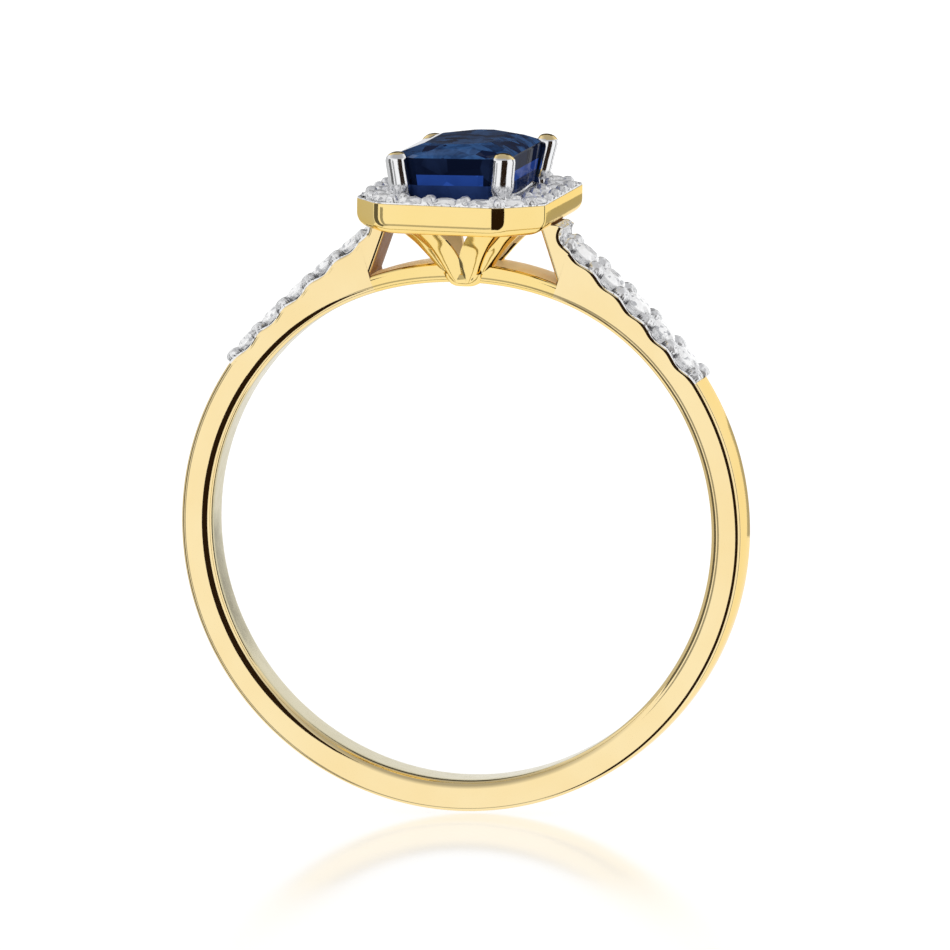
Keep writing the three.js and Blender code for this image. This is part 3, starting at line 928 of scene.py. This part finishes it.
def smooth_rows(rows, steps):
    """Catmull-Rom rows between the given ones."""
    last = len(rows) - 1

    def between(p, q, r, s, t):
        square = (2 * p - 5 * q + 4 * r - s) * t**2
        cube = (3 * q - p - 3 * r + s) * t**3
        return 0.5 * (2 * q + (r - p) * t + square + cube)

    made = []
    for i in range(last):
        around = [rows[max(0, min(last, j))] for j in (i - 1, i, i + 1, i + 2)]
        for t in spread(0, 1, steps)[:-1]:
            made.append([between(*values, t) for values in zip(*around)])
    made.append(rows[last])
    return made


def rib(sx, sy):
    """One of the basket's four curved ribs, grooved down its middle."""
    rings = []
    for z, x, y, cut, front, side in smooth_rows(RIB_LEVELS, 8):
        if sy > 0:
            front += BACK_OPENING * ease(*BACK_OPENING_HEIGHTS, z)
        corner_a, corner_b = Vector((x - cut, y)), Vector((x, y - cut))
        start = Vector((min(front, x - cut - 0.02), y))
        stop = Vector((x, min(side, y - cut - 0.02)))
        face = []
        for t in spread(0, 1, 20):
            # a rounded path from the front opening over the cut corner to the side opening
            ends = start * (1 - t) ** 3 + stop * t**3
            face.append(ends + corner_a * 3 * t * (1 - t) ** 2 + corner_b * 3 * t * t * (1 - t))
        middle = (start + stop) / 2
        inward = -(corner_a + corner_b - start - stop).normalized()
        outer = []
        for t, p in zip(spread(0, 1, 20), face):
            lobes = abs(math.sin(2 * math.pi * t)) ** 0.8
            outer.append(p + inward * (RIB_GROOVE * (1 - lobes) - 0.02))
        inner = [p.lerp(middle, 0.15) + inward * RIB_DEPTH for p in face]
        ring = outer + list(reversed(inner))
        rings.append([Vector((sx * p.x, sy * p.y, z)) for p in ring])
    return loft(rings)


def cup():
    """The rounded foot that the ribs grow from."""
    rings = []
    for z, x, y in CUP_LEVELS:
        rings.append(level(octagon(x, y, min(x, y) * 0.5, (0.3, 0.3), straight=4, bend=5), z))
    return loft(rings)


def faces_in(at, normal):
    """Whether a face looks towards the middle of the basket."""
    return at.x * normal.x + at.y * normal.y < -0.2


ribs = [rib(sx, sy) for sx in (-1, 1) for sy in (-1, 1)]
basket = piece("basket_metal", joined(cup(), *ribs), GOLD_HEAD, "basket", sharp=50)
# painted light on the basket's inner faces
paint(basket, GOLD_INSIDE_PAINTED_LIGHT, faces_in)

for name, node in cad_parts.items():
    if "diamond" in name:
        node.data.materials.clear()
        node.data.materials.append(DIAMOND)

# ---------------------------------------------------------------- camera, floor, light


def make_camera():
    a, e = CAMERA_AZIMUTH, CAMERA_ELEVATION
    back = Vector((math.sin(a) * math.cos(e), -math.cos(a) * math.cos(e), math.sin(e)))
    right = Vector((math.cos(a), math.sin(a), 0))
    up = back.cross(right)
    data = bpy.data.cameras.new("camera")
    data.sensor_width = SENSOR
    data.lens = SENSOR * CAMERA_DISTANCE / FRAME_WIDTH
    camera = bpy.data.objects.new("camera", data)
    bpy.context.scene.collection.objects.link(camera)
    camera.location = back * CAMERA_DISTANCE + right * AIM_RIGHT + up * AIM_UP
    upright = Matrix((right, up, back)).transposed()
    camera.rotation_euler = (upright @ Matrix.Rotation(CAMERA_ROLL, 3, "Z")).to_euler()
    bpy.context.scene.camera = camera


def make_floor():
    made, shader, add, links = material("floor")
    shader.inputs["Base Color"].default_value = (0.3, 0.3, 0.3, 1)
    shader.inputs["IOR"].default_value = 1.45
    foot = {0: place(add), 1: (0, 0, -BAND_R)}
    away = add("ShaderNodeVectorMath", foot, operation="DISTANCE").outputs["Value"]
    for socket, (near, far) in (("Roughness", FLOOR_ROUGHNESS), ("Emission Strength", FLOOR_GLOW)):
        ramp = add("ShaderNodeMapRange", {"Value": away, "To Min": near, "To Max": far})
        ramp.inputs["From Min"].default_value, ramp.inputs["From Max"].default_value = FLOOR_SHINE
        links.new(ramp.outputs[0], shader.inputs[socket])
    shader.inputs["Emission Color"].default_value = (1, 1, 1, 1)
    bm = bmesh.new()
    bmesh.ops.create_grid(bm, x_segments=1, y_segments=1, size=FLOOR_SIZE / 2)
    bmesh.ops.rotate(bm, matrix=Matrix.Rotation(-FLOOR_SLOPE, 3, "Y"), verts=bm.verts)
    bmesh.ops.translate(bm, vec=(0, 0, -BAND_R - FLOOR_GAP), verts=bm.verts)
    floor = mesh_object("floor", bm, made)
    floor.visible_glossy = False


def lamp(name, bm, strength, warmth=1.0):
    """A glowing surface that only reflections see; the lower warmth is, the redder its light."""
    look, shader, add, links = material(name)
    shader.inputs["Base Color"].default_value = (0, 0, 0, 1)
    shader.inputs["Roughness"].default_value = 1
    shader.inputs["Specular IOR Level"].default_value = 0
    shader.inputs["Emission Color"].default_value = (strength, strength * warmth, strength * warmth**2, 1)
    shader.inputs["Emission Strength"].default_value = 1
    made = mesh_object(name, bm, look)
    made.visible_camera = False
    made.visible_diffuse = False
    made.visible_shadow = False


def card(name, azimuths, elevations, strength, warmth=1.0):
    """A studio card between two azimuths and two elevations, in degrees.

    Azimuth 0 is straight in front of the ring, and 90 is to its right.
    """
    bm = bmesh.new()
    rows = []
    for azimuth in spread(*map(math.radians, azimuths), 12):
        row = []
        for elevation in spread(*map(math.radians, elevations), 12):
            flat = math.cos(elevation)
            way = Vector((flat * math.sin(azimuth), -flat * math.cos(azimuth), math.sin(elevation)))
            row.append(bm.verts.new(way * CARD_DISTANCE))
        rows.append(row)
    for a, b in zip(rows, rows[1:]):
        for i in range(len(a) - 1):
            bm.faces.new((a[i], a[i + 1], b[i + 1], b[i]))
    lamp(name, bm, strength, warmth)


def panel(name, middle, size, strength):
    """A small upright studio card close behind the ring, facing it."""
    bm = bmesh.new()
    (x, y, z), (wide, high) = middle, size
    corners = [(-wide / 2, -high / 2), (wide / 2, -high / 2), (wide / 2, high / 2), (-wide / 2, high / 2)]
    bm.faces.new([bm.verts.new((x + a, y, z + b)) for a, b in corners])
    lamp(name, bm, strength)


def light_studio():
    world = bpy.data.worlds.new("studio")
    bpy.context.scene.world = world
    world.use_nodes = True
    tree = world.node_tree
    way = tree.nodes.new("ShaderNodeTexCoord")
    height = tree.nodes.new("ShaderNodeSeparateXYZ")
    ramp = tree.nodes.new("ShaderNodeValToRGB")
    tree.links.new(way.outputs["Generated"], height.inputs[0])
    tree.links.new(height.outputs["Z"], ramp.inputs["Fac"])
    tree.links.new(ramp.outputs["Color"], tree.nodes["Background"].inputs["Color"])
    low, high = ramp.color_ramp.elements
    low.position, low.color = 0.42, (1, 1, 1, 1)
    high.position, high.color = 0.85, (0.45, 0.45, 0.46, 1)
    bpy.context.scene.view_settings.view_transform = "Standard"
    card("card_dark", (8, 62), (-68, 42), 0.02, 0.55)
    card("card_right_edge", (116, 130), (-40, 30), 0.03)
    card("card_left", (-150, -96), (-30, 25), 0.6)
    card("card_left_edge", (-92, -62), (-60, 20), 0.12)
    card("card_left_front", (-50, -34), (-60, 10), 0.35)
    card("card_low", (-75, 6), (-62, -46), 0.5)
    panel("card_behind", (13.75, 62, -2.3), (13.5, 13.8), 0.46)
    panel("card_over_stone", (-5, 26, 27.5), (26, 27), 0.06)


make_camera()
make_floor()
light_studio()
